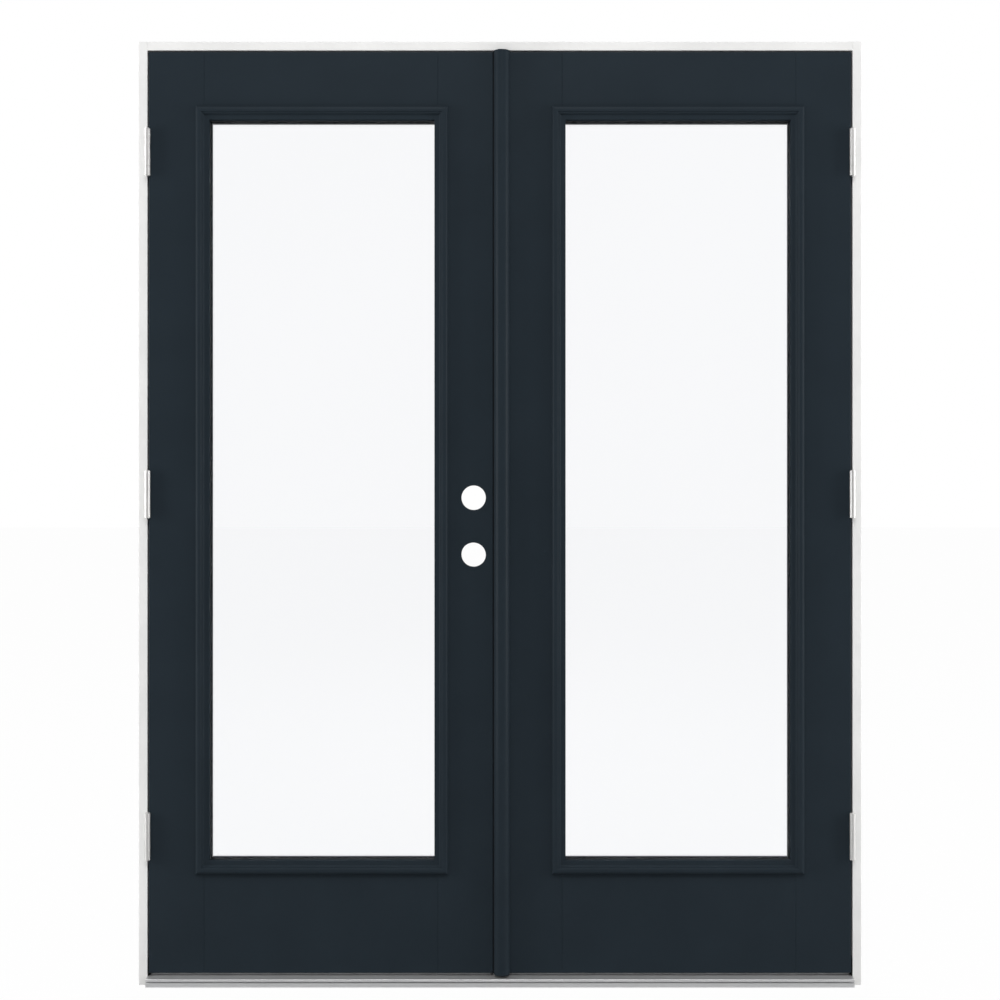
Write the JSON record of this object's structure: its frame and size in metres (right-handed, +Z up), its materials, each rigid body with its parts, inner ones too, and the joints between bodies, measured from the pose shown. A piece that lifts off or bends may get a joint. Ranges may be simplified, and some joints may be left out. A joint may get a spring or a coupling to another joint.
{
  "type": "french doors",
  "caption": "French doors: full-glass leaves on butt hinges in a rebated frame with a sill, an astragal with flush bolts on one leaf and lock bores in the other.",
  "frame": {"origin": "under the middle of the sill, in the plane of the leaves' outside faces", "axes": "+X along the wall to the right, +Y inward through the doorway, +Z up"},
  "size_m": [1.577, 0.136, 2.058],
  "materials": {
    "white_paint": "primed and painted white, satin",
    "dark_paint": "painted blue-black, satin",
    "dark_moulding": "painted blue-black, satin",
    "satin_steel": "satin nickel plated",
    "mill_aluminium": "mill finish, drawn along its length",
    "black_spacer": "matt warm-edge foam",
    "composite": "plain",
    "grey_vinyl": "matt flexible vinyl",
    "black_rubber": "matt foam skin",
    "clear_glass": "clear float glass"
  },
  "bodies": {
    "frame": {"left_jamb": "white_paint", "right_jamb": "white_paint", "head_jamb": "white_paint", "sill_base": "composite", "sill_deck": "mill_aluminium", "sill_seal": "black_rubber", "left_weatherstrip": "black_rubber", "right_weatherstrip": "black_rubber", "head_weatherstrip": "black_rubber", "corner_pads": "black_rubber", "left_hinge_pins": "satin_steel", "right_hinge_pins": "satin_steel", "frame_hinge_screws": "satin_steel", "frame_screws": "satin_steel", "head_bolt_strike": "satin_steel", "sill_bolt_strike": "satin_steel", "left_upper_frame_plate": "satin_steel", "left_middle_frame_plate": "satin_steel", "left_lower_frame_plate": "satin_steel", "right_upper_frame_plate": "satin_steel", "right_middle_frame_plate": "satin_steel", "right_lower_frame_plate": "satin_steel"},
    "active_leaf": {"active_hinge_stile": "dark_paint", "active_lock_stile": "dark_paint", "active_top_rail": "dark_paint", "active_bottom_rail": "dark_paint", "active_front_lite_frame": "dark_moulding", "active_back_lite_frame": "dark_moulding", "active_front_pane": "clear_glass", "active_pane_spacer": "black_spacer", "active_back_pane": "clear_glass", "active_glazing_tape": "black_rubber", "active_lite_screws": "satin_steel", "active_sweep": "grey_vinyl", "active_upper_door_plate": "satin_steel", "active_middle_door_plate": "satin_steel", "active_lower_door_plate": "satin_steel", "active_hinge_screws": "satin_steel"},
    "passive_leaf": {"passive_hinge_stile": "dark_paint", "passive_lock_stile": "dark_paint", "passive_top_rail": "dark_paint", "passive_bottom_rail": "dark_paint", "passive_front_lite_frame": "dark_moulding", "passive_back_lite_frame": "dark_moulding", "passive_front_pane": "clear_glass", "passive_pane_spacer": "black_spacer", "passive_back_pane": "clear_glass", "passive_glazing_tape": "black_rubber", "passive_lite_screws": "satin_steel", "passive_sweep": "grey_vinyl", "passive_upper_door_plate": "satin_steel", "passive_middle_door_plate": "satin_steel", "passive_lower_door_plate": "satin_steel", "passive_hinge_screws": "satin_steel", "astragal": "dark_paint", "astragal_seal": "black_rubber", "astragal_boot": "black_rubber", "astragal_screws": "satin_steel"},
    "upper_flush_bolt": {"upper_bolt": "satin_steel"},
    "lower_flush_bolt": {"lower_bolt": "satin_steel"}
  },
  "joints": [
    {"name": "active_swing", "type": "hinge", "parent": "frame", "child": "active_leaf", "pos_m": [-0.768, -0.0065, 1.07], "axis": [0, 0, -1], "range_deg": [0, 170]},
    {"name": "passive_swing", "type": "hinge", "parent": "frame", "child": "passive_leaf", "pos_m": [0.768, -0.0065, 1.07], "axis": [0, 0, 1], "range_deg": [0, 170]},
    {"name": "upper_bolt_slide", "type": "slide", "parent": "passive_leaf", "child": "upper_flush_bolt", "axis": [0, 0, 1], "range_m": [0, 0.018]},
    {"name": "lower_bolt_slide", "type": "slide", "parent": "passive_leaf", "child": "lower_flush_bolt", "axis": [0, 0, -1], "range_m": [0, 0.018]}
  ]
}
